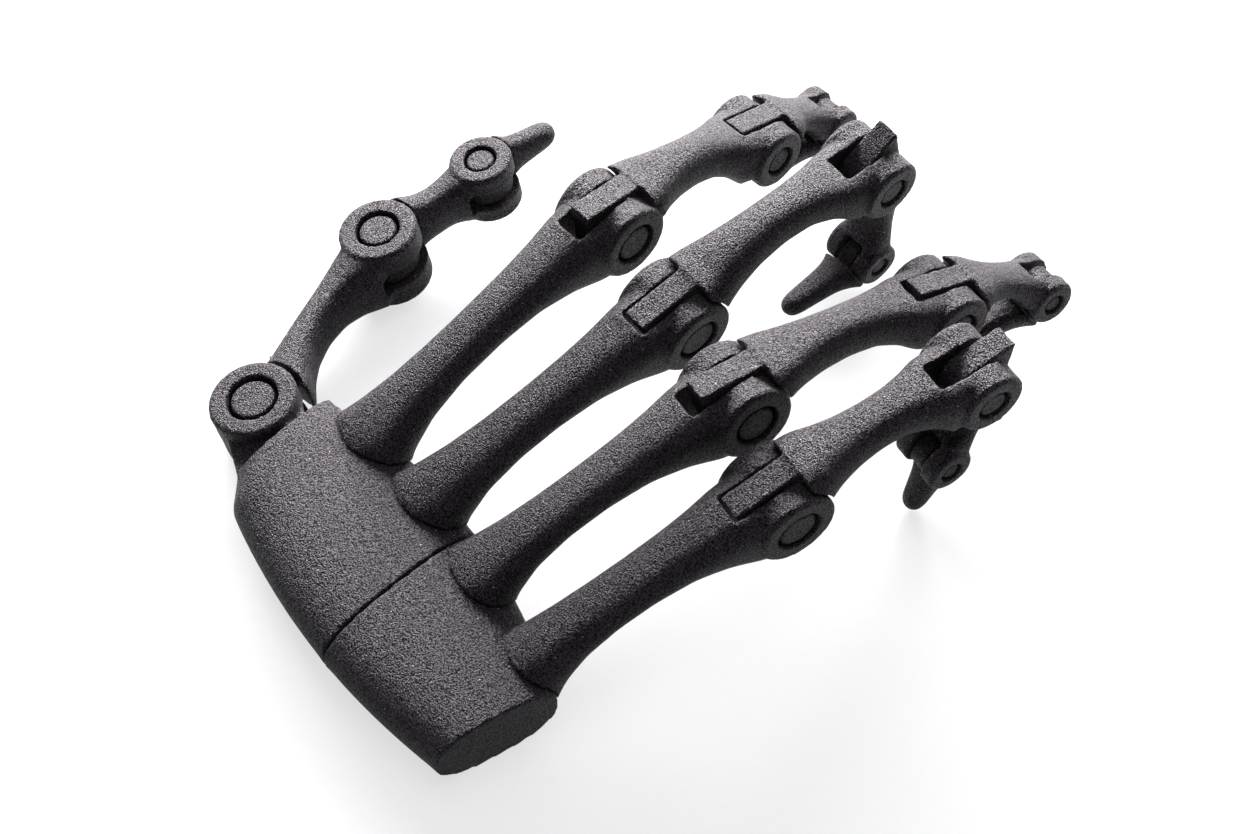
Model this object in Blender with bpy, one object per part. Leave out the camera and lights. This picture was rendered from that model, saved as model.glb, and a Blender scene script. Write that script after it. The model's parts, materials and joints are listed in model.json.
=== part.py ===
"""Skeletal prosthetic right hand, printed in nylon, as separate bones on hinge pins.

Frame: +Z is the back of the hand, +Y points to the fingertips, +X to the little finger.
The hand is laid out from a point on the table under the middle of the wrist edge, and at the
end is moved so that the origin lies on the table under the middle of the whole hand's box.
Bones are drawn in millimetres in a bone frame: X along the hinge pins, Y towards the
fingertip, Z towards the back of the hand, origin on the hinge pin nearest the wrist.
"""

import math
from collections import namedtuple

import bmesh
import bpy
from mathutils import Matrix, Vector

MM = 0.001

# ---------------------------------------------------------------- driving dimensions (mm)
GAP = 0.3                 # between pieces that rest on each other
SHOULDER_GAP = 0.5        # between a fork's round ear and the next bone's hollow shoulder
PIN_RECESS = 0.4          # the pin's end face below the ear's face
PIN_CHAMFER = 0.35
BOSS_CHAMFER = 0.7
PIN_PRESS_GAP = 0.2       # radial, pin in the tongue that carries it

TONGUE_PLAY = 0.5         # each side of the tongue in its slot
STOP_GAP = 0.4            # tongue corner to the slot's end wall, finger straight

# Shares of the hinge's boss radius, the same for every hinge
SHOULDER_BOTTOM = 0.07    # palm side of the next bone's shoulder
SHOULDER_FACE = 0.56      # flat dorsal part of the shoulder, beyond the pin
EAR_END = 0.62            # where the bone's back ends over the fork's ears
EAR_END_TOP = 0.88
TONGUE_ROUND = 0.84       # round part of the tongue about the pin

# radius of the round boss, width over both ears, slot width, ear hole and pin radius,
# back of both bones above the pin, palm side of the bone before the boss below the pin,
# slot end wall before the pin, bend at the hard stop
Hinge = namedtuple("Hinge", "radius width slot hole pin back chin reach stop")
KNUCKLE = Hinge(8.3, 16.5, 6.4, 4.75, 4.05, 9.5, 6.6, 8.6, 9.0)
MIDDLE = Hinge(6.9, 16.5, 6.2, 3.55, 3.0, 8.0, 5.0, 8.3, 12.0)
END = Hinge(5.1, 12.4, 4.8, 2.4, 2.0, 5.5, 2.4, 6.0, -2.0)
THUMB_ROOT = Hinge(9.3, 15.2, 5.4, 5.45, 4.65, 8.0, 7.5, 9.0, 0.0)
THUMB_KNUCKLE = Hinge(8.6, 16.4, 4.8, 4.85, 4.1, 7.0, 6.0, 9.0, 3.0)
THUMB_END = Hinge(7.0, 13.6, 4.8, 3.65, 3.1, 5.7, 4.4, 7.4, -4.0)

# metacarpal base on the carpal block, knuckle pin, yaw, pitch and roll of the knuckle frame,
# phalanx lengths pin to pin (the last one pin to tip), bend of the three hinges at rest,
# half width of the metacarpal's base; of the proximal phalanx's waist, the arch of its back
# and the height of its palm side above the pins
Finger = namedtuple("Finger", "base knuckle yaw pitch roll lengths bends base_half arch palm")
FINGERS = {
    "index": Finger((-23.4, 33.4, 10.8), (-26.0, 95.7, 34.1), 5.8, 19.0, -0.5,
                    (43.1, 25.0, 21.5), (28.5, 13.0, 148.0), 9.6, 1.4, 0.0),
    "middle": Finger((-4.5, 33.6, 10.8), (-0.8, 92.3, 32.1), 0.9, 18.6, 3.0,
                     (51.9, 30.9, 22.8), (11.0, 89.3, 90.0), 9.4, 2.6, 2.0),
    "ring": Finger((15.4, 31.8, 10.6), (23.7, 87.4, 34.7), -3.2, 22.3, -6.0,
                   (49.1, 29.0, 22.0), (26.3, 18.5, 145.0), 9.2, 1.4, 0.2),
    "little": Finger((35.7, 29.4, 10.0), (44.4, 80.8, 30.8), -6.5, 21.7, -0.5,
                     (44.2, 21.8, 18.2), (10.1, 114.5, -1.0), 7.8, 0.2, 0.7),
}
FINGER_HINGES = (KNUCKLE, MIDDLE, END)

THUMB_PIN = (-44.6, 21.1, 7.4)
THUMB_AXIS = (-0.097, -0.127, 0.987)
THUMB_TURN = 22.7         # metacarpal away from +Y, towards -X
THUMB_LENGTHS = (47.4, 27.9, 20.0)
THUMB_BENDS = (0.0, 20.0, 1.0)
THUMB_HINGES = (THUMB_ROOT, THUMB_KNUCKLE, THUMB_END)

# Carpal block: a lens section swept across the palm, split at the seam
BLOCK_HALF_SPAN = 39.7    # along X, at mid depth
BLOCK_CENTRE_X = 3.2
SEAM_X = 8.2
WRIST_BOW = 0.0030        # wrist edge y = WRIST_BOW * (x - 5)^2
FRONT_Y = 39.5
FRONT_BOW = 0.0045        # front edge y = FRONT_Y - FRONT_BOW * (x + 3)^2
BLOCK_HALF_THICK = 7.9
BLOCK_MID_Z = 8.2
BLOCK_SLANTS = (-0.16, -0.10, 0.11)   # dx/dy of the radial end, seam and ulnar end
RADIAL_LEAN = 0.20        # dx/dz of the radial end, top inwards
BLOCK_POWER = 2.45
CORNER_RADIUS = 6.0       # of the radial corner at the wrist, in plan

LUG_BOTTOM = -5.0         # thumb's bracket plate, from the hinge's mid plane
LUG_TOP = 4.6
ROOT_EAR_TOP = 8.0        # ears of the thumb's bracket, from the same plane
ROOT_EAR_BOTTOM = 5.6

SPIGOT_RADIUS = 3.0
SPIGOT_DEPTH = 9.0        # from the base point into the carpal block

BONE_POINTS = 16          # around a bone's section
BLOCK_POINTS = 26         # around the carpal block's section
ROUND_POINTS = 24         # around a boss or a pin
PIN_POINTS = 20

NYLON = (0.028, 0.026, 0.028, 1.0)


# ---------------------------------------------------------------- mesh helpers
def mesh_object(name, points, faces):
    """Object from points in mm and faces; normals are made to point out."""
    mesh = bpy.data.meshes.new(name)
    shape = bmesh.new()
    corners = [shape.verts.new(Vector(p) * MM) for p in points]
    for face in faces:
        shape.faces.new([corners[i] for i in face])
    bmesh.ops.recalc_face_normals(shape, faces=shape.faces)
    shape.to_mesh(mesh)
    shape.free()
    result = bpy.data.objects.new(name, mesh)
    bpy.context.scene.collection.objects.link(result)
    return result


def loft(name, rings):
    """Closed solid through rings with the same number of points."""
    count = len(rings[0])
    points = [p for ring in rings for p in ring]
    faces = [list(range(count)), list(range(len(points) - count, len(points)))]
    for r in range(len(rings) - 1):
        for i in range(count):
            j = (i + 1) % count
            low = r * count
            faces.append([low + i, low + j, low + count + j, low + count + i])
    return mesh_object(name, points, faces)


def lathe_x(name, stations, centre=(0.0, 0.0), count=ROUND_POINTS):
    """Round solid about an axis along X, from (x, radius) stations."""
    rings = []
    for x, radius in stations:
        ring = []
        for i in range(count):
            angle = 2 * math.pi * (i + 0.5) / count
            y = centre[0] + radius * math.cos(angle)
            z = centre[1] + radius * math.sin(angle)
            ring.append((x, y, z))
        rings.append(ring)
    return loft(name, rings)


def cylinder_x(name, radius, half, centre=(0.0, 0.0), chamfer=0.0, count=ROUND_POINTS):
    """Cylinder along X, half long each way, with chamfered ends if asked."""
    if not chamfer:
        return lathe_x(name, [(-half, radius), (half, radius)], centre, count)
    stations = [(-half, radius - chamfer), (-half + chamfer, radius),
                (half - chamfer, radius), (half, radius - chamfer)]
    return lathe_x(name, stations, centre, count)


def prism_x(name, outline, half):
    """Flat plate with a (y, z) outline, half thick each way along X."""
    return loft(name, [[(x, y, z) for y, z in outline] for x in (-half, half)])


def prism_z(name, outline, low, high):
    """Flat plate with an (x, y) outline between two heights."""
    return loft(name, [[(x, y, z) for x, y in outline] for z in (low, high)])


def arc(radius, start, end, steps, centre=(0.0, 0.0)):
    """Points on an arc; angles in degrees."""
    points = []
    for i in range(steps + 1):
        angle = math.radians(start + (end - start) * i / steps)
        points.append((centre[0] + radius * math.cos(angle),
                       centre[1] + radius * math.sin(angle)))
    return points


def combine(target, tool, operation, place=None):
    """Boolean of target with tool; the tool is used up."""
    if place is not None:
        tool.matrix_world = place
    bpy.context.view_layer.update()
    step = target.modifiers.new("combine", "BOOLEAN")
    step.operation = operation
    step.solver = "EXACT"
    step.object = tool
    graph = bpy.context.evaluated_depsgraph_get()
    result = bpy.data.meshes.new_from_object(target.evaluated_get(graph))
    target.modifiers.clear()
    target.data = result
    bpy.data.objects.remove(tool)


def drill(bone, radius, half, y=0.0):
    """Round hole along X through a bone."""
    combine(bone, cylinder_x("hole", radius, half, (y, 0.0), count=PIN_POINTS), "DIFFERENCE")


def superellipse(half_width, top, bottom, power, count):
    """Section points (x, z) between -half_width and half_width, -bottom and top."""
    middle = (top - bottom) / 2
    half_height = (top + bottom) / 2
    points = []
    for i in range(count):
        angle = 2 * math.pi * (i + 0.5) / count
        c, s = math.cos(angle), math.sin(angle)
        x = half_width * math.copysign(abs(c) ** (2 / power), c)
        z = middle + half_height * math.copysign(abs(s) ** (2 / power), s)
        points.append((x, z))
    return points


def mix(a, b, share):
    return a + (b - a) * share


def flare(y, full, waist, power=2.2):
    """1 at a bone's end, falling to 0 at its waist, steepest at the end."""
    share = min(1.0, max(0.0, (y - full) / (waist - full)))
    return (1 - share) ** power


# ---------------------------------------------------------------- bone shapes
# Half width, heights above and below the hinge line, superellipse power. A waist's top
# is how far the back of the bone sags there.
Section = namedtuple("Section", "half top bottom power")


def tongue_corner(hinge):
    """Square dorsal corner of the tongue, (y, z) about the pin in its own bone."""
    y, z = -hinge.reach + STOP_GAP, hinge.back - 0.4
    turn = math.radians(hinge.stop)
    return (y * math.cos(turn) - z * math.sin(turn), y * math.sin(turn) + z * math.cos(turn))


def tongue_outline(hinge, square_tab=True):
    """Side view of the tongue: round about the pin, with a square dorsal corner."""
    radius = hinge.radius
    round_part = TONGUE_ROUND * radius
    inside = [(1.45 * radius, 0.77 * radius), (1.3 * radius, 0.36 * radius)]
    if not square_tab:
        return [(0.9 * radius, 0.3 * radius)] + inside + arc(round_part, -50, -290, 20)
    corner = tongue_corner(hinge)
    to_corner = math.degrees(math.atan2(corner[1], corner[0]))
    tangent = math.degrees(math.acos(round_part / math.hypot(*corner)))
    shoulder = (SHOULDER_FACE * radius + 1.2, hinge.back - 0.25)
    return [corner, shoulder] + inside + arc(round_part, -50, to_corner + tangent - 360, 9)


def add_tongue(bone, hinge, square_tab=True):
    """Hollow the shoulders about the pin and add the tongue with its pin hole."""
    radius = hinge.radius
    hollow = cylinder_x("hollow", radius + SHOULDER_GAP, hinge.width)
    combine(bone, hollow, "DIFFERENCE")
    face = SHOULDER_FACE * radius
    low = -0.37 * radius
    step = [(-2 * radius, low), (face, low), (face, 3 * radius), (-2 * radius, 3 * radius)]
    combine(bone, prism_x("step", step, hinge.width), "DIFFERENCE")
    half = hinge.slot / 2 - TONGUE_PLAY
    plate = prism_x("tongue", tongue_outline(hinge, square_tab), half)
    combine(bone, plate, "UNION")
    drill(bone, hinge.pin + PIN_PRESS_GAP, hinge.width)


def add_fork(bone, hinge, y):
    """Round boss, slot for the next tongue and pin holes, about a pin at y."""
    radius = hinge.radius
    boss = cylinder_x("boss", radius, hinge.width / 2, (y, 0.0), BOSS_CHAMFER)
    combine(bone, boss, "UNION")
    low, high = y - hinge.reach, y + 2 * radius
    reach = 2 * radius
    outline = [(low, -reach), (high, -reach), (high, reach), (low, reach)]
    combine(bone, prism_x("slot", outline, hinge.slot / 2), "DIFFERENCE")
    drill(bone, hinge.hole, hinge.width, y)


def near_section(hinge, power):
    """Shoulder of a bone about the hinge at its wrist end."""
    return Section(hinge.width / 2 - 0.7, hinge.back, SHOULDER_BOTTOM * hinge.radius, power)


def far_section(hinge):
    """Bone just before the fork at its far end, a little narrower than the boss."""
    return Section(hinge.width / 2 - 0.7, hinge.back, hinge.chin, 3.2)


def fork_stations(hinge, y):
    """Last sections of a bone, the back sloping down to the round boss."""
    full = far_section(hinge)
    end = full._replace(top=EAR_END_TOP * hinge.radius, bottom=0.5 * hinge.radius)
    return [(y - hinge.reach, full), (y + EAR_END * hinge.radius, end)]


def bone_from(name, sections, offset=None):
    """Loft through (y, section) pairs; offset(y) moves a section sideways and up."""
    rings = []
    for y, (half, top, bottom, power) in sections:
        dx, dz = offset(y) if offset else (0.0, 0.0)
        section = superellipse(half, top, bottom, power, BONE_POINTS)
        rings.append([(x + dx, y, z + dz) for x, z in section])
    return loft(name, rings)


def shaft(first, last, start, waist, end, shares, quick=2.2):
    """Sections along a bone that narrows to its waist but keeps a nearly straight back."""
    waist_y = mix(first, last, 0.55)
    sections = []
    for share in shares:
        y = mix(first, last, share)
        near, far = flare(y, first, waist_y, quick), flare(y, last, waist_y)
        values = [w + (s - w) * near + (e - w) * far for s, w, e in zip(start, waist, end)]
        back = mix(start.top, end.top, share) - 4 * waist.top * share * (1 - share)
        sections.append((y, Section(*values)._replace(top=back)))
    return sections


def link_bone(name, length, near, far, waist):
    """Phalanx with a tongue at the near hinge and a fork at the far one."""
    start = near_section(near, 3.0)
    first, last = 1.0 * near.radius, length - far.reach
    middle = shaft(first, last, start, waist, far_section(far), (0.0, 0.14, 0.3, 0.5, 0.7, 0.86))
    bone = bone_from(name, [(0.2 * near.radius, start)] + middle + fork_stations(far, length))
    add_tongue(bone, near)
    add_fork(bone, far, length)
    return bone


def tip_bone(name, length, near, tip_radius):
    """Last phalanx: a tongue, then a cone with a rounded tip."""
    start = near_section(near, 2.9)
    tip = Section(tip_radius, 1.3 * tip_radius, 0.7 * tip_radius, 2.1)
    neck = Section(mix(tip.half, start.half, 0.28), mix(tip.top, start.top, 0.45),
                   mix(tip.bottom, start.bottom, 0.3), 2.3)
    first, ball_y = 0.95 * near.radius, length - tip_radius
    neck_y = mix(first, ball_y, 0.42)
    sections = [(0.2 * near.radius, start)]
    for share in (0.0, 0.3, 0.65, 1.0):
        blend = (1 - share) ** 1.6
        values = [mix(n, s, blend) for n, s in zip(neck, start)]
        sections.append((mix(first, neck_y, share), Section(*values)))
    for share in (0.5, 1.0):
        values = [mix(n, t, share) for n, t in zip(neck, tip)]
        sections.append((mix(neck_y, ball_y, share), Section(*values)))
    for turn in (30, 55, 76):
        angle = math.radians(turn)
        half = tip.half * math.cos(angle)
        rise = 0.3 * tip_radius
        end = Section(half, rise + half, half - rise, 2.0)
        sections.append((ball_y + tip_radius * math.sin(angle), end))
    bone = bone_from(name, sections)
    add_tongue(bone, near)
    return bone


def metacarpal(name, finger, frame):
    """Palm bone: flared base saddled on the carpal block, fork at the knuckle."""
    base = frame.inverted() @ (Vector(finger.base) * MM) / MM
    hinge = KNUCKLE
    last = -hinge.reach
    start = Section(finger.base_half, 7.1, 6.6, 2.7)
    waist = Section(5.7, -0.2, -2.0, 2.3)

    def offset(y):
        share = min(1.0, max(0.0, (y - base.y) / (last - base.y)))
        ease = (1 - share) ** 1.3
        return base.x * ease, base.z * ease

    sections = []
    for back, share in ((3.0, 0.30), (2.6, 0.58), (1.8, 0.80), (0.8, 0.94)):
        nose = start._replace(half=share * start.half, top=start.top - 0.25 * back, power=2.5)
        sections.append((base.y - back, nose))
    sections += shaft(base.y + 0.6, last, start, waist, far_section(hinge),
                      (0.0, 0.1, 0.22, 0.38, 0.56, 0.74, 0.88), quick=3.0)
    bone = bone_from(name, sections + fork_stations(hinge, 0.0), offset)
    combine(bone, carpal_solid("block", -1.0, 1.0, GAP), "DIFFERENCE", frame.inverted())
    combine(bone, spigot(base, SPIGOT_RADIUS, 0.0), "UNION")
    add_fork(bone, hinge, 0.0)
    return bone


def spigot(base, radius, extra):
    """Round peg along the metacarpal, from the carpal block into the bone."""
    start = -SPIGOT_DEPTH - extra
    end = 16.0
    peg = lathe_x("spigot", [(start, radius - 0.5), (start + 0.5, radius), (end, radius)],
                  count=16)
    turn = Matrix.Rotation(math.radians(90), 4, "Z")
    peg.data.transform(Matrix.Translation(Vector(base) * MM) @ turn)
    return peg


# ---------------------------------------------------------------- carpal block
def carpal_solid(name, start, end, grow):
    """Part of the block between two shares of its span, grown all round."""
    rings = []
    count = 14 if end - start > 1.5 else 8
    radial, seam, ulnar = BLOCK_SLANTS
    seam_at = seam_share(0)
    for i in range(count + 1):
        share = mix(start, end, i / count)
        x = BLOCK_CENTRE_X + share * BLOCK_HALF_SPAN
        wrist = WRIST_BOW * (x - 5) ** 2
        corner_x = BLOCK_CENTRE_X - BLOCK_HALF_SPAN + CORNER_RADIUS
        if x < corner_x:
            into = min(corner_x - x, 0.97 * CORNER_RADIUS)
            wrist += 0.8 * (CORNER_RADIUS - math.sqrt(CORNER_RADIUS ** 2 - into ** 2))
        front = FRONT_Y - FRONT_BOW * (x + 3) ** 2
        centre, half = (wrist + front) / 2, (front - wrist) / 2 + grow
        thick = BLOCK_HALF_THICK + grow
        if share < seam_at:
            slant = mix(radial, seam, (share + 1) / (seam_at + 1))
        else:
            slant = mix(seam, ulnar, (share - seam_at) / (1 - seam_at))
        lean = RADIAL_LEAN * max(0.0, -share)
        ring = []
        for y, z in superellipse(half, thick, thick, BLOCK_POWER, BLOCK_POINTS):
            ring.append((x + slant * y + lean * z, centre + y, BLOCK_MID_Z + z))
        rings.append(ring)
    return loft(name, rings)


def seam_share(side):
    """Share of the span at which one half of the block meets the seam."""
    return (SEAM_X + side * GAP / 2 - BLOCK_CENTRE_X) / BLOCK_HALF_SPAN


def thumb_lug(block):
    """Fork on the radial end of the block that holds the thumb's first hinge."""
    hinge = THUMB_ROOT
    plate = arc(0.97 * hinge.radius, 90, 215, 10) + [(12.0, -12.0), (14.0, 4.0), (6.0, 7.4)]
    combine(block, prism_z("lug", plate, LUG_BOTTOM, LUG_TOP), "UNION", thumb_flat_frame())
    boss = [(-ROOT_EAR_BOTTOM, hinge.radius - BOSS_CHAMFER),
            (-ROOT_EAR_BOTTOM + BOSS_CHAMFER, hinge.radius),
            (ROOT_EAR_TOP - BOSS_CHAMFER, hinge.radius),
            (ROOT_EAR_TOP, hinge.radius - BOSS_CHAMFER)]
    combine(block, lathe_x("boss", boss), "UNION", thumb_root_frame())
    pocket = arc(hinge.radius * TONGUE_ROUND + 0.7, 190, 380, 16) + [(22.0, 20.0), (-14.0, 16.0)]
    half_slot = hinge.slot / 2
    cutter = prism_z("pocket", pocket, -half_slot, half_slot)
    combine(block, cutter, "DIFFERENCE", thumb_flat_frame())
    hole = cylinder_x("hole", hinge.hole, hinge.width)
    combine(block, hole, "DIFFERENCE", thumb_root_frame())


def thumb_root_frame():
    """Bone frame of the thumb's first hinge, X along its pin."""
    pin = Vector(THUMB_AXIS).normalized()
    forward = (Vector((0, 1, 0)) - pin * pin.y).normalized()
    forward = Matrix.Rotation(math.radians(THUMB_TURN), 3, pin) @ forward
    return frame_matrix(THUMB_PIN, pin, forward)


def thumb_flat_frame():
    """Frame at the same pin with Z along it and X towards the block."""
    pin = Vector(THUMB_AXIS).normalized()
    side = (Vector((1, 0, 0)) - pin * pin.x).normalized()
    return frame_matrix(THUMB_PIN, side, pin.cross(side))


def frame_matrix(origin, x_axis, y_axis):
    z_axis = x_axis.cross(y_axis)
    turn = Matrix((x_axis, y_axis, z_axis)).transposed().to_4x4()
    return Matrix.Translation(Vector(origin) * MM) @ turn


def knuckle_frame(finger):
    """Bone frame at a finger's knuckle pin."""
    turn = (Matrix.Rotation(math.radians(finger.yaw), 4, "Z")
            @ Matrix.Rotation(math.radians(finger.pitch), 4, "X")
            @ Matrix.Rotation(math.radians(finger.roll), 4, "Y"))
    return Matrix.Translation(Vector(finger.knuckle) * MM) @ turn


# ---------------------------------------------------------------- assembly
def nylon_material(name):
    """Black printed nylon, one material for each piece."""
    material = bpy.data.materials.new(name)
    material.use_nodes = True
    shader = material.node_tree.nodes["Principled BSDF"]
    shader.inputs["Base Color"].default_value = NYLON
    shader.inputs["Roughness"].default_value = 0.8
    shader.inputs["Metallic"].default_value = 0.0
    return material


def finish(piece):
    piece.data.materials.clear()
    piece.data.materials.append(nylon_material(piece.name + "_nylon"))
    piece.data.shade_smooth()
    piece.data.set_sharp_from_angle(angle=math.radians(35))


def empty(name, parent, matrix):
    """Empty that holds a hinge's axis, placed in its parent's frame."""
    holder = bpy.data.objects.new(name, None)
    holder.empty_display_size = 5 * MM
    bpy.context.scene.collection.objects.link(holder)
    holder.parent = parent
    holder.matrix_local = matrix
    return holder


def attach(piece, holder):
    finish(piece)
    piece.parent = holder


def bent(degrees, y):
    """Next hinge's frame: at y along the bone, bent towards the palm."""
    turn = Matrix.Rotation(math.radians(-degrees), 4, "X")
    return Matrix.Translation((0.0, y * MM, 0.0)) @ turn


def hinge_pin(name, hinge):
    """Plain pin, its ends just below the ears' faces."""
    low, high = -hinge.width / 2 + PIN_RECESS, hinge.width / 2 - PIN_RECESS
    if hinge is THUMB_ROOT:
        low, high = -ROOT_EAR_BOTTOM + PIN_RECESS, ROOT_EAR_TOP - PIN_RECESS
    stations = [(low, hinge.pin - PIN_CHAMFER), (low + PIN_CHAMFER, hinge.pin),
                (high - PIN_CHAMFER, hinge.pin), (high, hinge.pin - PIN_CHAMFER)]
    return lathe_x(name, stations, count=PIN_POINTS)


def build_carpals():
    radial = carpal_solid("carpal_radial_block", -1.0, seam_share(-1), 0.0)
    thumb_lug(radial)
    ulnar = carpal_solid("carpal_ulnar_block", seam_share(1), 1.0, 0.0)
    for name, finger in FINGERS.items():
        frame = knuckle_frame(finger)
        base = frame.inverted() @ (Vector(finger.base) * MM) / MM
        block = radial if name in ("index", "middle") else ulnar
        socket = spigot(base, SPIGOT_RADIUS + GAP, 0.5)
        combine(block, socket, "DIFFERENCE", frame)
    finish(radial)
    finish(ulnar)


def build_finger(name, finger):
    frame = knuckle_frame(finger)
    knuckle = empty(name + "_knuckle", None, frame)
    attach(metacarpal(name + "_metacarpal", finger, frame), knuckle)
    first, second, third = finger.lengths
    proximal = link_bone(name + "_proximal_phalanx", first, KNUCKLE, MIDDLE,
                         Section(4.9, -finger.arch, -finger.palm, 2.4))
    middle = link_bone(name + "_middle_phalanx", second, MIDDLE, END,
                       Section(4.7, 0.0, -0.9, 2.4))
    distal = tip_bone(name + "_distal_phalanx", third, END, 2.7)
    holder, reach = knuckle, 0.0
    joints = ("knuckle", "middle", "end")
    for bone, hinge, joint, bend, length in zip(
            (proximal, middle, distal), FINGER_HINGES, joints, finger.bends, finger.lengths):
        holder = empty(name + "_" + joint + "_hinge", holder, bent(bend, reach))
        attach(bone, holder)
        attach(hinge_pin(name + "_" + joint + "_pin", hinge), holder)
        reach = length


def thumb_metacarpal():
    """Thumb's palm bone: its root sits to the palm side of the hinge, as a heel."""
    near, far = THUMB_ROOT, THUMB_KNUCKLE
    length = THUMB_LENGTHS[0]
    start = Section(6.3, 5.4, 6.8, 3.0)
    waist = Section(5.8, -0.4, 0.6, 2.4)
    first, last = 1.0 * near.radius, length - far.reach
    middle = shaft(first, last, start, waist, far_section(far), (0.0, 0.14, 0.3, 0.5, 0.7, 0.86))
    bone = bone_from("thumb_metacarpal",
                     [(0.4 * near.radius, start)] + middle + fork_stations(far, length))
    hollow = cylinder_x("hollow", near.radius + 1.2, near.width)
    combine(bone, hollow, "DIFFERENCE")
    plate = prism_x("tongue", tongue_outline(near, square_tab=False),
                    near.slot / 2 - TONGUE_PLAY)
    combine(bone, plate, "UNION")
    drill(bone, near.pin + PIN_PRESS_GAP, near.width)
    add_fork(bone, far, length)
    return bone


def build_thumb():
    first, second, third = THUMB_LENGTHS
    bones = (
        thumb_metacarpal(),
        link_bone("thumb_proximal_phalanx", second, THUMB_KNUCKLE, THUMB_END,
                  Section(5.6, 0.6, 2.4, 2.4)),
        tip_bone("thumb_distal_phalanx", third, THUMB_END, 3.1))
    holder, reach = empty("thumb_root", None, thumb_root_frame()), 0.0
    joints = ("root", "knuckle", "end")
    for bone, hinge, joint, bend, length in zip(
            bones, THUMB_HINGES, joints, THUMB_BENDS, THUMB_LENGTHS):
        holder = empty("thumb_" + joint + "_hinge", holder, bent(bend, reach))
        attach(bone, holder)
        attach(hinge_pin("thumb_" + joint + "_pin", hinge), holder)
        reach = length


def move_to_origin():
    """Puts the bottom centre of the hand's box at the origin."""
    bpy.context.view_layer.update()
    corners = [piece.matrix_world @ vertex.co for piece in bpy.data.objects
               if piece.type == "MESH" for vertex in piece.data.vertices]
    low = Vector(min(corner[axis] for corner in corners) for axis in range(3))
    high = Vector(max(corner[axis] for corner in corners) for axis in range(3))
    shift = Matrix.Translation((-(low.x + high.x) / 2, -(low.y + high.y) / 2, -low.z))
    for piece in bpy.data.objects:
        if piece.parent is None:
            piece.matrix_world = shift @ piece.matrix_world


def main():
    for old in list(bpy.data.objects):
        bpy.data.objects.remove(old)
    build_carpals()
    for name, finger in FINGERS.items():
        build_finger(name, finger)
    build_thumb()
    move_to_origin()
    bpy.context.view_layer.update()


main()
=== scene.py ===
"""Looks of the skeletal prosthetic hand.

Every CAD solid becomes a fine, softened piece of sintered nylon, lying on a white studio sweep.
All lengths are in metres.
"""

import json
import math

import bmesh
import bpy
import numpy as np
from mathutils import Matrix, Vector
from mathutils.kdtree import KDTree

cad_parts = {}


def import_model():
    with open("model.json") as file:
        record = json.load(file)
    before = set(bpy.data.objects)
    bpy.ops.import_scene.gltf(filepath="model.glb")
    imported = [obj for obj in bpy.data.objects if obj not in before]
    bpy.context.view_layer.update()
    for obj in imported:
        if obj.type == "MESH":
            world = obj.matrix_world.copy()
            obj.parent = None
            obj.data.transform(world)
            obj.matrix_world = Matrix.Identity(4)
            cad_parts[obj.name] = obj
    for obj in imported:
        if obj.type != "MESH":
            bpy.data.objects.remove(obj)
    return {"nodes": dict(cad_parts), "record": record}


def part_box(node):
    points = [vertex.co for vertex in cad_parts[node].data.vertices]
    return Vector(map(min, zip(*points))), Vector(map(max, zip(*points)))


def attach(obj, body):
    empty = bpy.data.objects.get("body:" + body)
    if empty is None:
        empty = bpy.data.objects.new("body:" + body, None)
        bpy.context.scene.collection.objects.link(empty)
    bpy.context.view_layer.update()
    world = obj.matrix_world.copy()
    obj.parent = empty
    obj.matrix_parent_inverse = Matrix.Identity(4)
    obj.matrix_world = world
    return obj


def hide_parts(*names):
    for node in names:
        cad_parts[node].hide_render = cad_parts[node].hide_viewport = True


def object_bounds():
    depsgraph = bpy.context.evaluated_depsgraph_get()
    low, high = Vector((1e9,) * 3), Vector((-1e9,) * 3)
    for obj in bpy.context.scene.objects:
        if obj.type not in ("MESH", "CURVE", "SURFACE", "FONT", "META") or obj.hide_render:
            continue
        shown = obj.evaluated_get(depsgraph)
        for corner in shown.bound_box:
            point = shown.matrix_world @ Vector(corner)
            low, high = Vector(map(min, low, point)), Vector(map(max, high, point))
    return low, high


MM = 0.001

# ---------------------------------------------------------------- surface
BONE_VOXEL = 0.36 * MM
BLOCK_VOXEL = 0.45 * MM
JOIN_DISTANCE = 1e-7                # closer vertices are one and the same
SHARP_ANGLE = math.radians(43)      # edges sharper than this stay edges
EDGE_SAMPLE = 0.35 * MM             # spacing of the points that mark an edge
EDGE_KEEP = 0.45 * MM               # within this distance an edge is only rounded
EDGE_FADE = 1.3 * MM                # beyond it the facets are smoothed away
FACET_ROUNDS = 44
EDGE_ROUNDS = 1
SMOOTH_STEP = 0.5                   # share of the way to the neighbours' mean, each round

# ---------------------------------------------------------------- nylon
NYLON_DARK = (0.0028, 0.0024, 0.0028)
NYLON_LIGHT = (0.0225, 0.0196, 0.0226)
# painted glint: colour of the pale specks that stand in for sparkles of light on the grain
PAINTED_GLINT_SPECK = (0.30, 0.29, 0.29)
GLINT = (1.0, 0.88, 1.0, 1)         # faint purple of the dye in the highlights
GRAIN_SIZE = 0.34 * MM
CLUMP_SIZE = 1.2 * MM
MOTTLE_SIZE = 12 * MM
SPECK_SIZE = 0.42 * MM
GRAIN_SHARE = 0.80                  # of the light and dark pattern, the rest is mottling
GRAIN_BAND = (0.40, 0.62)           # noise levels between a dark pit and a light grain
MOTTLE_BAND = (0.35, 0.65)
SPECK_BAND = (0.975, 1.0)           # only this share of the cells carries a painted glint speck
SPECK_CORE = (0.55, 0.85)           # how far a speck fills its cell
ROUGHNESS = 0.37
CLUMP_ROUGHNESS = 0.14              # added where the powder clumps
GLOSS_BAND = (0.36, 0.64)
GLOSS_GAIN = 0.42                   # grain tops shine more than the pits
GLOSS = 0.04
SHEEN = 0.03
SHEEN_ROUGHNESS = 0.45
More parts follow.
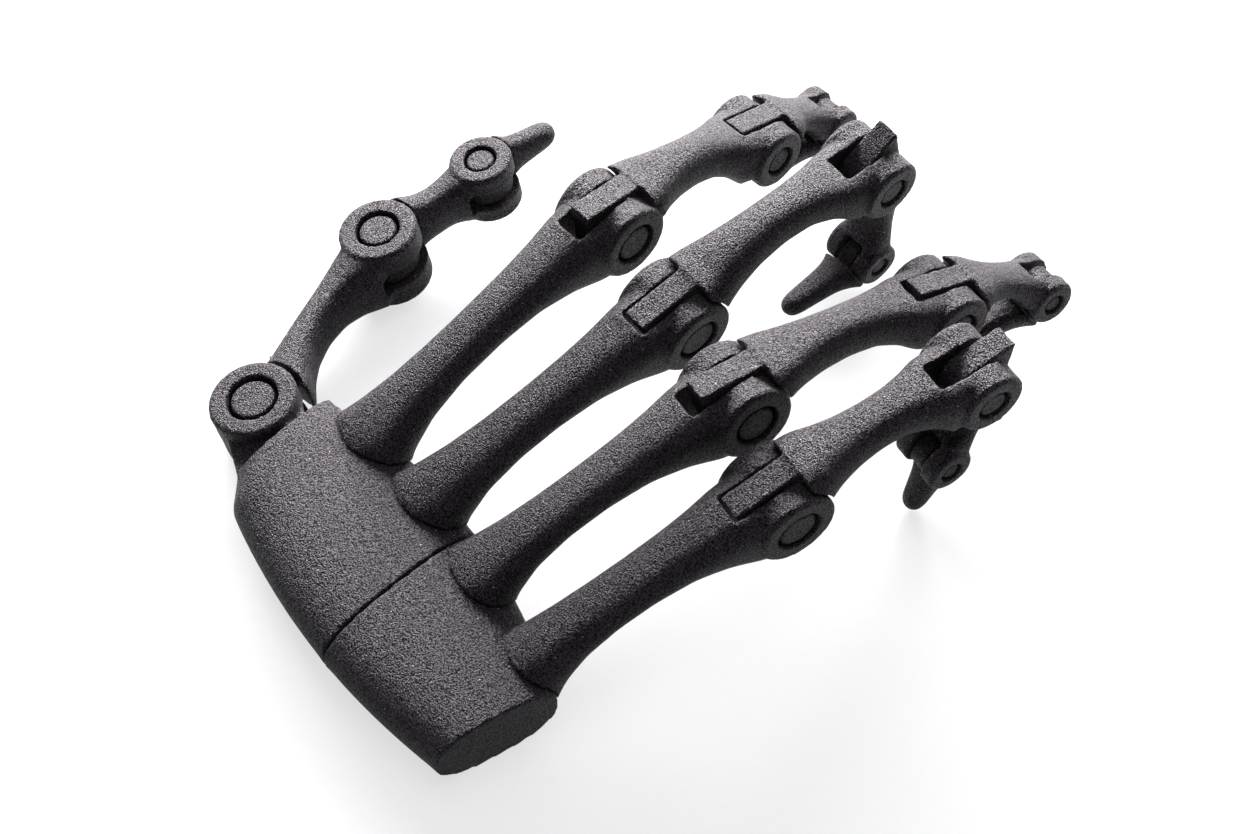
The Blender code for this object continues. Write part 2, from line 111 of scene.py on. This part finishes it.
GRAIN_RELIEF = 0.8                  # shares of the relief
CLUMP_RELIEF = 0.5
RELIEF = 0.55 * MM

# ---------------------------------------------------------------- camera and light
CAMERA_PLACE = (0.1904, -0.0746, 0.3557)     # from the table under the wrist edge
CAMERA_AZIMUTH = math.radians(50.91)
CAMERA_ELEVATION = math.radians(54.82)
CAMERA_ROLL = math.radians(1.49)
SENSOR = 36.0
LENS = 59.8
CLIP_START = 0.01
KEY_PLACE = (-0.50, 0.44, 0.25)     # lamps are placed from the same point, in watts
KEY_SIZE = (0.90, 0.20)
KEY_POWER = 34.0
TOP_PLACE = (-0.02, 0.10, 0.62)
TOP_SIZE = (0.5, 0.4)
TOP_POWER = 1.4
WORLD_COLOUR = (0.98, 0.98, 1.0, 1)
WORLD_GLOW = 0.16                   # light the white room gives
WORLD_SEEN = 0.95                   # how bright it looks past the sweep

WRIST_FROM_ULNAR = 0.0443           # from the block's ulnar end to the wrist edge's middle

# ---------------------------------------------------------------- white sweep
FLOOR_HALF = 1.6
FLOOR_BACK = 0.75                   # floor turns up into the backdrop this far back
SWEEP_RADIUS = 0.5
SWEEP_STEPS = 12
BACKDROP_TOP = 2.0
PAPER_SIZE = 2.0 * MM
PAPER_DARK = (0.30, 0.30, 0.303)
PAPER_LIGHT = (0.33, 0.33, 0.333)
PAPER_ROUGHNESS = 0.6
PAPER_COLOUR = (0.99, 0.985, 1.0, 1)
PAPER_GLOW = 0.28                   # light the sweep gives
PAPER_SEEN = 0.40                   # added when the camera looks at it


# ---------------------------------------------------------------- mesh work
def closed_copy(node):
    """bmesh of a CAD node with its split vertices joined."""
    mesh = bmesh.new()
    mesh.from_mesh(node.data)
    bmesh.ops.remove_doubles(mesh, verts=mesh.verts, dist=JOIN_DISTANCE)
    return mesh


def edge_points(mesh):
    """Points along the sharp edges of a mesh."""
    points = []
    for edge in mesh.edges:
        if len(edge.link_faces) == 2 and edge.calc_face_angle() < SHARP_ANGLE:
            continue
        start, end = (v.co for v in edge.verts)
        steps = max(1, math.ceil((end - start).length / EDGE_SAMPLE))
        points += [start.lerp(end, i / steps) for i in range(steps + 1)]
    return points


def distance_to(points, places):
    """Distance of every place to the nearest of the points."""
    if not points:
        return np.ones(len(places))
    tree = KDTree(len(points))
    for index, point in enumerate(points):
        tree.insert(point, index)
    tree.balance()
    return np.array([tree.find(place)[2] for place in places])


def remeshed(name, mesh, voxel):
    """Object whose surface is an even grid of small quads over the mesh."""
    data = bpy.data.meshes.new(name)
    mesh.to_mesh(data)
    piece = bpy.data.objects.new(name, data)
    bpy.context.scene.collection.objects.link(piece)
    step = piece.modifiers.new("voxels", "REMESH")
    step.mode = "VOXEL"
    step.voxel_size = voxel
    graph = bpy.context.evaluated_depsgraph_get()
    fine = bpy.data.meshes.new_from_object(piece.evaluated_get(graph))
    piece.modifiers.clear()
    piece.data = fine
    return piece


def neighbour_mean(places, edges, degree):
    """Mean place of every vertex's neighbours."""
    first, second = edges[:, 0], edges[:, 1]
    count = len(places)
    total = np.empty_like(places)
    for axis in range(3):
        column = places[:, axis]
        total[:, axis] = (np.bincount(first, column[second], count)
                          + np.bincount(second, column[first], count))
    return total / degree[:, None]


def relax(piece, weight, rounds):
    """Moves vertices towards their neighbours, by weight."""
    data = piece.data
    places = np.empty(len(data.vertices) * 3)
    data.vertices.foreach_get("co", places)
    places = places.reshape(-1, 3)
    edges = np.empty(len(data.edges) * 2, dtype=np.int64)
    data.edges.foreach_get("vertices", edges)
    edges = edges.reshape(-1, 2)
    degree = np.maximum(np.bincount(edges.ravel(), minlength=len(places)), 1)
    step = (SMOOTH_STEP * weight)[:, None]
    for _ in range(rounds):
        places += step * (neighbour_mean(places, edges, degree) - places)
    data.vertices.foreach_set("co", places.ravel())
    data.update()


def softened(node, name, voxel):
    """The node's solid with smooth faces and slightly rounded edges."""
    mesh = closed_copy(node)
    points = edge_points(mesh)
    piece = remeshed(name, mesh, voxel)
    mesh.free()
    away = distance_to(points, [v.co for v in piece.data.vertices])
    share = np.clip((away - EDGE_KEEP) / EDGE_FADE, 0, 1)
    relax(piece, share * share * (3 - 2 * share), FACET_ROUNDS)
    relax(piece, np.ones(len(away)), EDGE_ROUNDS)
    piece.data.shade_smooth()
    return piece


# ---------------------------------------------------------------- material
class Nodes:
    """Short calls for building one material's node tree."""

    def __init__(self, name):
        self.material = bpy.data.materials.new(name)
        self.material.use_nodes = True
        self.tree = self.material.node_tree
        self.shader = self.tree.nodes["Principled BSDF"]

    def new(self, kind, **values):
        node = self.tree.nodes.new(kind)
        for key, value in values.items():
            setattr(node, key, value)
        return node

    def link(self, source, target):
        self.tree.links.new(source, target)

    def noise(self, vector, size, detail=3.0, roughness=0.55):
        node = self.new("ShaderNodeTexNoise")
        node.inputs["Scale"].default_value = 1 / size
        node.inputs["Detail"].default_value = detail
        node.inputs["Roughness"].default_value = roughness
        self.link(vector, node.inputs["Vector"])
        return node.outputs["Fac"]

    def cells(self, vector, size):
        node = self.new("ShaderNodeTexVoronoi")
        node.inputs["Scale"].default_value = 1 / size
        self.link(vector, node.inputs["Vector"])
        return node

    def ramp(self, value, low, high):
        """0 below low, 1 above high."""
        node = self.new("ShaderNodeMapRange", interpolation_type="SMOOTHSTEP")
        node.inputs["From Min"].default_value = low
        node.inputs["From Max"].default_value = high
        self.link(value, node.inputs["Value"])
        return node.outputs["Result"]

    def math(self, operation, first, second):
        node = self.new("ShaderNodeMath", operation=operation)
        for slot, value in zip(node.inputs, (first, second)):
            if isinstance(value, (int, float)):
                slot.default_value = value
            else:
                self.link(value, slot)
        return node.outputs[0]

    def mix(self, share, first, second):
        """Blend of two colours: a mix node's inputs 6 and 7 and its output 2 are the coloured ones."""
        node = self.new("ShaderNodeMix", data_type="RGBA")
        for slot, value in zip((node.inputs[0], node.inputs[6], node.inputs[7]),
                               (share, first, second)):
            if isinstance(value, tuple):
                slot.default_value = (*value, 1.0)
            else:
                self.link(value, slot)
        return node.outputs[2]


def nylon(name):
    """Sintered nylon, dyed charcoal: sandy grain, soft mottling, pale specks painted as glints of
    light.
    """
    m = Nodes(name)
    place = m.new("ShaderNodeTexCoord").outputs["Object"]
    grain = m.noise(place, GRAIN_SIZE, detail=2.0, roughness=0.6)
    clump = m.noise(place, CLUMP_SIZE, detail=3.0)
    mottle = m.noise(place, MOTTLE_SIZE, detail=4.0)
    shade = m.math("ADD", m.math("MULTIPLY", m.ramp(grain, *GRAIN_BAND), GRAIN_SHARE),
                   m.math("MULTIPLY", m.ramp(mottle, *MOTTLE_BAND), 1 - GRAIN_SHARE))
    dyed = m.mix(shade, NYLON_DARK, NYLON_LIGHT)
    # painted glints: pale specks laid over the dyed colour
    m.link(m.mix(painted_glint_specks(m, place), dyed, PAINTED_GLINT_SPECK), m.shader.inputs["Base Color"])
    rough = m.math("ADD", m.math("MULTIPLY", clump, CLUMP_ROUGHNESS), ROUGHNESS)
    m.link(rough, m.shader.inputs["Roughness"])
    gloss = m.math("ADD", m.math("MULTIPLY", m.ramp(grain, *GLOSS_BAND), GLOSS_GAIN), GLOSS)
    m.link(gloss, m.shader.inputs["Specular IOR Level"])
    m.shader.inputs["Specular Tint"].default_value = GLINT
    m.shader.inputs["Sheen Weight"].default_value = SHEEN
    m.shader.inputs["Sheen Roughness"].default_value = SHEEN_ROUGHNESS
    add_grain_bump(m, grain, clump)
    return m.material


def painted_glint_specks(m, place):
    """1 inside the few small painted glint specks, 0 elsewhere."""
    cells = m.cells(place, SPECK_SIZE)
    parts = m.new("ShaderNodeSeparateColor")
    m.link(cells.outputs["Color"], parts.inputs["Color"])
    rare = m.ramp(parts.outputs["Red"], *SPECK_BAND)
    core = m.ramp(m.math("SUBTRACT", 1.0, cells.outputs["Distance"]), *SPECK_CORE)
    return m.math("MULTIPLY", rare, core)


def add_grain_bump(m, grain, clump):
    """Two sizes of relief: the powder grains and the clumps they sit in."""
    height = m.math("ADD", m.math("MULTIPLY", grain, GRAIN_RELIEF),
                    m.math("MULTIPLY", clump, CLUMP_RELIEF))
    bump = m.new("ShaderNodeBump")
    bump.inputs["Strength"].default_value = 1.0
    bump.inputs["Distance"].default_value = RELIEF
    m.link(height, bump.inputs["Height"])
    m.link(bump.outputs["Normal"], m.shader.inputs["Normal"])


def floor_white():
    """Matt white paper that looks brighter to the camera than the light it gives."""
    m = Nodes("studio_white")
    place = m.new("ShaderNodeTexCoord").outputs["Object"]
    paper = m.noise(place, PAPER_SIZE, detail=2.0)
    m.link(m.mix(paper, PAPER_DARK, PAPER_LIGHT), m.shader.inputs["Base Color"])
    m.shader.inputs["Roughness"].default_value = PAPER_ROUGHNESS
    m.shader.inputs["Specular IOR Level"].default_value = 0.0
    m.shader.inputs["Emission Color"].default_value = PAPER_COLOUR
    seen = m.new("ShaderNodeLightPath").outputs["Is Camera Ray"]
    glow = m.math("ADD", m.math("MULTIPLY", seen, PAPER_SEEN), PAPER_GLOW)
    m.link(glow, m.shader.inputs["Emission Strength"])
    return m.material


# ---------------------------------------------------------------- build
def build_pieces(frame):
    """One softened piece for every CAD node, riding on that node's body."""
    bodies = frame["record"]["behaviour"]["bodies"]
    material = nylon("charcoal_nylon")
    for body, members in bodies.items():
        for node in members:
            voxel = BLOCK_VOXEL if node.startswith("carpal") else BONE_VOXEL
            piece = softened(frame["nodes"][node], node + "_nylon", voxel)
            piece.data.materials.clear()
            piece.data.materials.append(material)
            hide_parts(node)
            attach(piece, body)


def sweep_profile():
    """Side view (y, z) of the sweep: floor, quarter turn, backdrop."""
    profile = [(-FLOOR_HALF, 0.0), (FLOOR_BACK, 0.0)]
    for step in range(1, SWEEP_STEPS + 1):
        angle = math.radians(90 * step / SWEEP_STEPS)
        profile.append((FLOOR_BACK + SWEEP_RADIUS * math.sin(angle),
                        SWEEP_RADIUS * (1 - math.cos(angle))))
    profile.append((FLOOR_BACK + SWEEP_RADIUS, BACKDROP_TOP))
    return profile


def build_floor():
    """White sweep: flat under the hand, curving up behind it."""
    mesh = bmesh.new()
    rows = [[mesh.verts.new((x, y, z)) for x in (-FLOOR_HALF, FLOOR_HALF)]
            for y, z in sweep_profile()]
    for low, high in zip(rows, rows[1:]):
        mesh.faces.new((low[0], low[1], high[1], high[0]))
    data = bpy.data.meshes.new("studio_floor")
    mesh.to_mesh(data)
    mesh.free()
    data.shade_smooth()
    data.materials.append(floor_white())
    floor = bpy.data.objects.new("studio_floor", data)
    floor.rotation_euler = (0, 0, CAMERA_AZIMUTH)
    bpy.context.scene.collection.objects.link(floor)


def area_light(name, place, target, size, power):
    """Rectangular soft light that looks at the target."""
    data = bpy.data.lights.new(name, "AREA")
    data.shape = "RECTANGLE"
    data.size, data.size_y = size
    data.energy = power
    light = bpy.data.objects.new(name, data)
    light.location = place
    aim = Vector(target) - Vector(place)
    light.rotation_euler = aim.to_track_quat("-Z", "Y").to_euler()
    bpy.context.scene.collection.objects.link(light)


def build_world():
    """White room: looks white past the sweep and gives a weak light from all round."""
    world = bpy.data.worlds.new("studio")
    world.use_nodes = True
    tree = world.node_tree
    background = tree.nodes["Background"]
    background.inputs["Color"].default_value = WORLD_COLOUR
    seen = tree.nodes.new("ShaderNodeLightPath").outputs["Is Camera Ray"]
    strength = tree.nodes.new("ShaderNodeMapRange")
    strength.inputs["To Min"].default_value = WORLD_GLOW
    strength.inputs["To Max"].default_value = WORLD_SEEN
    tree.links.new(seen, strength.inputs["Value"])
    tree.links.new(strength.outputs["Result"], background.inputs["Strength"])
    bpy.context.scene.world = world


def build_lights(wrist, centre):
    """Wide, low key beyond the thumb and the fingertips, and a weak light from above."""
    area_light("key", wrist + Vector(KEY_PLACE), centre, KEY_SIZE, KEY_POWER)
    area_light("top", wrist + Vector(TOP_PLACE), centre, TOP_SIZE, TOP_POWER)


def build_camera(wrist):
    """Three-quarter view from above the little finger's side of the wrist."""
    azimuth, elevation = CAMERA_AZIMUTH, CAMERA_ELEVATION
    back = Vector((math.sin(azimuth) * math.cos(elevation),
                   -math.cos(azimuth) * math.cos(elevation), math.sin(elevation)))
    level_right = Vector((math.cos(azimuth), math.sin(azimuth), 0))
    level_up = back.cross(level_right)
    right = level_right * math.cos(CAMERA_ROLL) + level_up * math.sin(CAMERA_ROLL)
    up = back.cross(right)
    data = bpy.data.cameras.new("camera")
    data.sensor_width = SENSOR
    data.lens = LENS
    data.clip_start = CLIP_START
    camera = bpy.data.objects.new("camera", data)
    turn = Matrix((right, up, back)).transposed().to_4x4()
    camera.matrix_world = Matrix.Translation(wrist + Vector(CAMERA_PLACE)) @ turn
    bpy.context.scene.collection.objects.link(camera)
    bpy.context.scene.camera = camera


def wrist_edge():
    """Point on the table under the middle of the wrist edge."""
    radial_low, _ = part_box("carpal_radial_block")
    _, ulnar_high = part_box("carpal_ulnar_block")
    return Vector((ulnar_high.x - WRIST_FROM_ULNAR, radial_low.y, 0))


def main():
    """Builds the pieces and the studio, aiming the lights at the middle of the CAD's bounds."""
    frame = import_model()
    cad_low, cad_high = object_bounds()
    bpy.context.scene.view_settings.view_transform = "Standard"
    build_pieces(frame)
    build_floor()
    wrist = wrist_edge()
    build_world()
    build_lights(wrist, (cad_low + cad_high) / 2)
    build_camera(wrist)


main()
